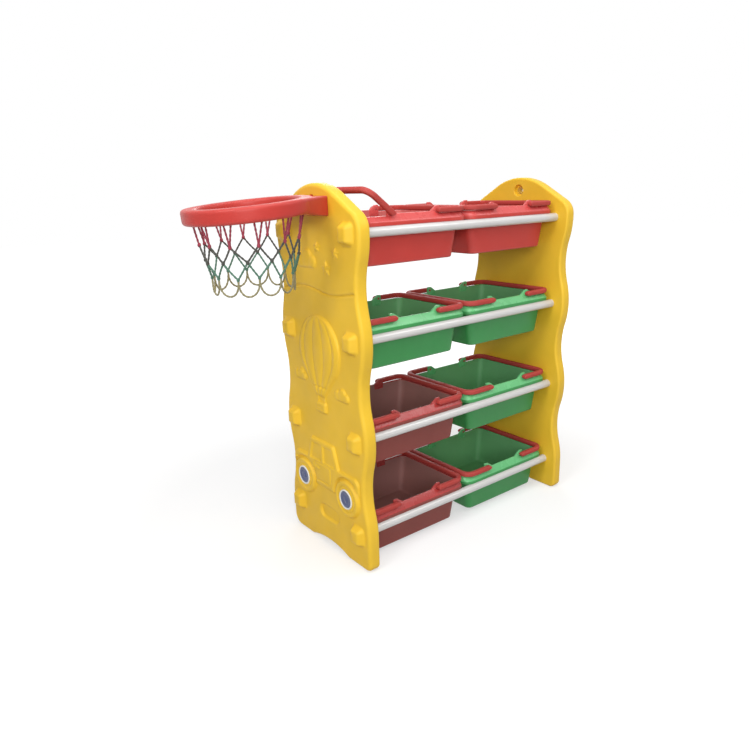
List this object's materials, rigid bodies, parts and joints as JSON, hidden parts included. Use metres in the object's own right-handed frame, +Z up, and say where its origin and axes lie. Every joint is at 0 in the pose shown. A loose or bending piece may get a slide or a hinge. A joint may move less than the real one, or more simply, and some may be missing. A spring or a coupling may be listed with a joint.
{
  "type": "toy shelf",
  "caption": "Free-standing toy shelf: moulded wavy side panels joined by tubes that carry lift-out bins with bail handles, and a small hoop with a net on one side.",
  "frame": {"origin": "on the floor below the middle of the overall box", "axes": "+X along the shelf from the hoop side to the far panel, -Y is the open front, +Z up"},
  "size_m": [1.0378, 0.342, 0.9],
  "materials": {
    "panel_yellow": "moulded satin",
    "hub_white": "satin",
    "hub_blue": "gloss",
    "plug_grey": "matt",
    "tube_white": "gloss coat on steel",
    "hoop_red": "satin",
    "nut_white": "satin",
    "net_cord": "knotted cord in red, green and yellow",
    "bin_red": "satin",
    "bin_green": "satin",
    "bin_maroon": "satin",
    "handle_red": "satin"
  },
  "bodies": {
    "frame": {"left_panel": "panel_yellow", "left_hub_rims": "hub_white", "left_hub_discs": "hub_blue", "left_tube_end_plugs": "plug_grey", "right_panel": "panel_yellow", "right_hub_rims": "hub_white", "right_hub_discs": "hub_blue", "right_tube_end_plugs": "plug_grey", "front_tube_bottom": "tube_white", "rear_tube_bottom": "tube_white", "front_tube_lower": "tube_white", "rear_tube_lower": "tube_white", "front_tube_upper": "tube_white", "rear_tube_upper": "tube_white", "front_tube_top": "tube_white", "rear_tube_top": "tube_white", "hoop_ring": "hoop_red", "hoop_nut": "nut_white", "hoop_net": "net_cord"},
    "bottom_left_bin": {"bottom_left_bin": "bin_maroon"},
    "bottom_left_bin_left_handle": {"bottom_left_bin_left_handle": "handle_red"},
    "bottom_left_bin_right_handle": {"bottom_left_bin_right_handle": "handle_red"},
    "bottom_right_bin": {"bottom_right_bin": "bin_green"},
    "bottom_right_bin_left_handle": {"bottom_right_bin_left_handle": "handle_red"},
    "bottom_right_bin_right_handle": {"bottom_right_bin_right_handle": "handle_red"},
    "lower_left_bin": {"lower_left_bin": "bin_maroon"},
    "lower_left_bin_left_handle": {"lower_left_bin_left_handle": "handle_red"},
    "lower_left_bin_right_handle": {"lower_left_bin_right_handle": "handle_red"},
    "lower_right_bin": {"lower_right_bin": "bin_green"},
    "lower_right_bin_left_handle": {"lower_right_bin_left_handle": "handle_red"},
    "lower_right_bin_right_handle": {"lower_right_bin_right_handle": "handle_red"},
    "upper_left_bin": {"upper_left_bin": "bin_green"},
    "upper_left_bin_left_handle": {"upper_left_bin_left_handle": "handle_red"},
    "upper_left_bin_right_handle": {"upper_left_bin_right_handle": "handle_red"},
    "upper_right_bin": {"upper_right_bin": "bin_green"},
    "upper_right_bin_left_handle": {"upper_right_bin_left_handle": "handle_red"},
    "upper_right_bin_right_handle": {"upper_right_bin_right_handle": "handle_red"},
    "top_left_bin": {"top_left_bin": "bin_red"},
    "top_left_bin_left_handle": {"top_left_bin_left_handle": "handle_red"},
    "top_left_bin_right_handle": {"top_left_bin_right_handle": "handle_red"},
    "top_right_bin": {"top_right_bin": "bin_red"},
    "top_right_bin_left_handle": {"top_right_bin_left_handle": "handle_red"},
    "top_right_bin_right_handle": {"top_right_bin_right_handle": "handle_red"}
  },
  "joints": [
    {"name": "bottom_left_bin_lift", "type": "slide", "parent": "frame", "child": "bottom_left_bin", "axis": [0, 0, 1], "range_m": [0, 0.1]},
    {"name": "bottom_left_bin_left_handle_swing", "type": "hinge", "parent": "bottom_left_bin", "child": "bottom_left_bin_left_handle", "pos_m": [-0.09763, 0, 0.1243], "axis": [0, 1, 0], "range_deg": [0, 110]},
    {"name": "bottom_left_bin_right_handle_swing", "type": "hinge", "parent": "bottom_left_bin", "child": "bottom_left_bin_right_handle", "pos_m": [0.04437, 0, 0.1243], "axis": [0, -1, 0], "range_deg": [0, 110]},
    {"name": "bottom_right_bin_lift", "type": "slide", "parent": "frame", "child": "bottom_right_bin", "axis": [0, 0, 1], "range_m": [0, 0.1]},
    {"name": "bottom_right_bin_left_handle_swing", "type": "hinge", "parent": "bottom_right_bin", "child": "bottom_right_bin_left_handle", "pos_m": [0.23237, 0, 0.1243], "axis": [0, 1, 0], "range_deg": [0, 110]},
    {"name": "bottom_right_bin_right_handle_swing", "type": "hinge", "parent": "bottom_right_bin", "child": "bottom_right_bin_right_handle", "pos_m": [0.37437, 0, 0.1243], "axis": [0, -1, 0], "range_deg": [0, 110]},
    {"name": "lower_left_bin_lift", "type": "slide", "parent": "frame", "child": "lower_left_bin", "axis": [0, 0, 1], "range_m": [0, 0.1]},
    {"name": "lower_left_bin_left_handle_swing", "type": "hinge", "parent": "lower_left_bin", "child": "lower_left_bin_left_handle", "pos_m": [-0.09763, 0, 0.3603], "axis": [0, 1, 0], "range_deg": [0, 110]},
    {"name": "lower_left_bin_right_handle_swing", "type": "hinge", "parent": "lower_left_bin", "child": "lower_left_bin_right_handle", "pos_m": [0.04437, 0, 0.3603], "axis": [0, -1, 0], "range_deg": [0, 110]},
    {"name": "lower_right_bin_lift", "type": "slide", "parent": "frame", "child": "lower_right_bin", "axis": [0, 0, 1], "range_m": [0, 0.1]},
    {"name": "lower_right_bin_left_handle_swing", "type": "hinge", "parent": "lower_right_bin", "child": "lower_right_bin_left_handle", "pos_m": [0.23237, 0, 0.3603], "axis": [0, 1, 0], "range_deg": [0, 110]},
    {"name": "lower_right_bin_right_handle_swing", "type": "hinge", "parent": "lower_right_bin", "child": "lower_right_bin_right_handle", "pos_m": [0.37437, 0, 0.3603], "axis": [0, -1, 0], "range_deg": [0, 110]},
    {"name": "upper_left_bin_lift", "type": "slide", "parent": "frame", "child": "upper_left_bin", "axis": [0, 0, 1], "range_m": [0, 0.1]},
    {"name": "upper_left_bin_left_handle_swing", "type": "hinge", "parent": "upper_left_bin", "child": "upper_left_bin_left_handle", "pos_m": [-0.09763, 0, 0.5963], "axis": [0, 1, 0], "range_deg": [0, 110]},
    {"name": "upper_left_bin_right_handle_swing", "type": "hinge", "parent": "upper_left_bin", "child": "upper_left_bin_right_handle", "pos_m": [0.04437, 0, 0.5963], "axis": [0, -1, 0], "range_deg": [0, 110]},
    {"name": "upper_right_bin_lift", "type": "slide", "parent": "frame", "child": "upper_right_bin", "axis": [0, 0, 1], "range_m": [0, 0.1]},
    {"name": "upper_right_bin_left_handle_swing", "type": "hinge", "parent": "upper_right_bin", "child": "upper_right_bin_left_handle", "pos_m": [0.23237, 0, 0.5963], "axis": [0, 1, 0], "range_deg": [0, 110]},
    {"name": "upper_right_bin_right_handle_swing", "type": "hinge", "parent": "upper_right_bin", "child": "upper_right_bin_right_handle", "pos_m": [0.37437, 0, 0.5963], "axis": [0, -1, 0], "range_deg": [0, 110]},
    {"name": "top_left_bin_lift", "type": "slide", "parent": "frame", "child": "top_left_bin", "axis": [0, 0, 1], "range_m": [0, 0.2]},
    {"name": "top_left_bin_left_handle_swing", "type": "hinge", "parent": "top_left_bin", "child": "top_left_bin_left_handle", "pos_m": [-0.09763, 0, 0.8323], "axis": [0, 1, 0], "range_deg": [-37, 73]},
    {"name": "top_left_bin_right_handle_swing", "type": "hinge", "parent": "top_left_bin", "child": "top_left_bin_right_handle", "pos_m": [0.04437, 0, 0.8323], "axis": [0, -1, 0], "range_deg": [0, 110]},
    {"name": "top_right_bin_lift", "type": "slide", "parent": "frame", "child": "top_right_bin", "axis": [0, 0, 1], "range_m": [0, 0.2]},
    {"name": "top_right_bin_left_handle_swing", "type": "hinge", "parent": "top_right_bin", "child": "top_right_bin_left_handle", "pos_m": [0.23237, 0, 0.8323], "axis": [0, 1, 0], "range_deg": [0, 110]},
    {"name": "top_right_bin_right_handle_swing", "type": "hinge", "parent": "top_right_bin", "child": "top_right_bin_right_handle", "pos_m": [0.37437, 0, 0.8323], "axis": [0, -1, 0], "range_deg": [0, 110]}
  ]
}
